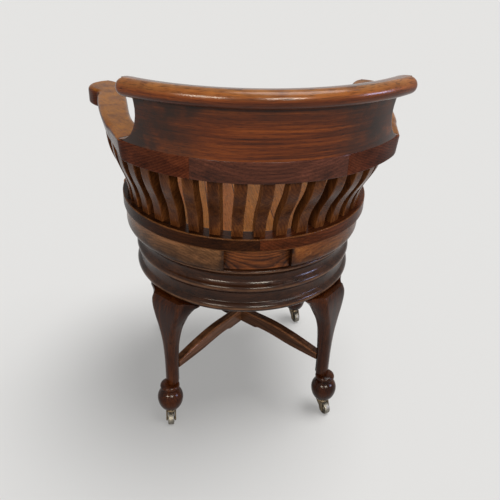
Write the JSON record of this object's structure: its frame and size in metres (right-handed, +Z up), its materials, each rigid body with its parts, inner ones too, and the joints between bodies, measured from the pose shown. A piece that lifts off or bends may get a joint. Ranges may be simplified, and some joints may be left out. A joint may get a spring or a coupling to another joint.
{
  "type": "revolving desk armchair",
  "caption": "Revolving wooden desk armchair with a horseshoe arm rail, tall rolled crest, ogee splats, turned base ring, cabriole legs with ball feet, and castors.",
  "frame": {"origin": "on the floor, under the middle of the outer box", "axes": "+Z up; the chair faces -Y, its crest is on the +Y side, and the sitter's left is +X"},
  "size_m": [0.6122, 0.605, 0.753],
  "materials": {
    "dark_oak": "dark stained and polished oak",
    "crest_oak": "stained and polished oak, red-brown",
    "frame_oak": "stained oak, half gloss",
    "golden_oak": "worn golden oak, half gloss",
    "iron": "dark oiled iron",
    "steel": "dull steel",
    "brass": "dull aged brass"
  },
  "bodies": {
    "base": {"base_ring": "dark_oak", "cross_bearer": "frame_oak", "swivel_bottom_plate": "iron", "thrust_washer": "brass", "spindle": "steel", "spindle_nut": "steel", "leg_rear_left": "dark_oak", "leg_rear_right": "dark_oak", "leg_front_left": "dark_oak", "leg_front_right": "dark_oak", "stretcher_lower": "dark_oak", "stretcher_upper": "dark_oak", "castor_plate_rear_left": "brass", "castor_plate_rear_right": "brass", "castor_plate_front_left": "brass", "castor_plate_front_right": "brass"},
    "seat": {"hoop_back": "dark_oak", "arm_left": "dark_oak", "arm_right": "dark_oak", "crest_board": "crest_oak", "splat_01": "dark_oak", "splat_02": "dark_oak", "splat_03": "dark_oak", "splat_04": "dark_oak", "splat_05": "dark_oak", "splat_06": "dark_oak", "splat_07": "dark_oak", "splat_08": "dark_oak", "splat_09": "dark_oak", "splat_10": "dark_oak", "splat_11": "dark_oak", "splat_12": "dark_oak", "splat_13": "dark_oak", "splat_14": "dark_oak", "splat_15": "dark_oak", "splat_16": "dark_oak", "splat_17": "dark_oak", "arm_post_left": "dark_oak", "arm_post_right": "dark_oak", "lower_rail_left": "dark_oak", "lower_rail_right": "dark_oak", "seat_board": "golden_oak", "seat_bearer": "frame_oak", "side_felloe_left": "frame_oak", "side_felloe_right": "frame_oak", "swivel_top_plate": "iron"},
    "castor_rear_left": {"castor_horn_rear_left": "brass", "castor_axle_rear_left": "steel"},
    "wheel_rear_left": {"castor_wheel_rear_left": "brass"},
    "castor_rear_right": {"castor_horn_rear_right": "brass", "castor_axle_rear_right": "steel"},
    "wheel_rear_right": {"castor_wheel_rear_right": "brass"},
    "castor_front_left": {"castor_horn_front_left": "brass", "castor_axle_front_left": "steel"},
    "wheel_front_left": {"castor_wheel_front_left": "brass"},
    "castor_front_right": {"castor_horn_front_right": "brass", "castor_axle_front_right": "steel"},
    "wheel_front_right": {"castor_wheel_front_right": "brass"}
  },
  "joints": [
    {"name": "seat_swivel", "type": "hinge", "parent": "base", "child": "seat", "pos_m": [0, -0.0555, 0.403], "axis": [0, 0, 1], "continuous": true},
    {"name": "castor_swivel_rear_left", "type": "hinge", "parent": "base", "child": "castor_rear_left", "pos_m": [0.16334, 0.10784, 0.035], "axis": [0, 0, 1], "continuous": true},
    {"name": "wheel_spin_rear_left", "type": "hinge", "parent": "castor_rear_left", "child": "wheel_rear_left", "pos_m": [0.16373, 0.11883, 0.0135], "axis": [0.9994, -0.0349, 0], "continuous": true},
    {"name": "castor_swivel_rear_right", "type": "hinge", "parent": "base", "child": "castor_rear_right", "pos_m": [-0.16334, 0.10784, 0.035], "axis": [0, 0, 1], "continuous": true},
    {"name": "wheel_spin_rear_right", "type": "hinge", "parent": "castor_rear_right", "child": "wheel_rear_right", "pos_m": [-0.16746, 0.11804, 0.0135], "axis": [0.9272, 0.3746, 0], "continuous": true},
    {"name": "castor_swivel_front_left", "type": "hinge", "parent": "base", "child": "castor_front_left", "pos_m": [0.16334, -0.21884, 0.035], "axis": [0, 0, 1], "continuous": true},
    {"name": "wheel_spin_front_left", "type": "hinge", "parent": "castor_front_left", "child": "wheel_front_left", "pos_m": [0.166, -0.20817, 0.0135], "axis": [0.9703, -0.2419, 0], "continuous": true},
    {"name": "castor_swivel_front_right", "type": "hinge", "parent": "base", "child": "castor_front_right", "pos_m": [-0.16334, -0.21884, 0.035], "axis": [0, 0, 1], "continuous": true},
    {"name": "wheel_spin_front_right", "type": "hinge", "parent": "castor_front_right", "child": "wheel_front_right", "pos_m": [-0.16637, -0.20827, 0.0135], "axis": [0.9613, 0.2756, 0], "continuous": true}
  ]
}
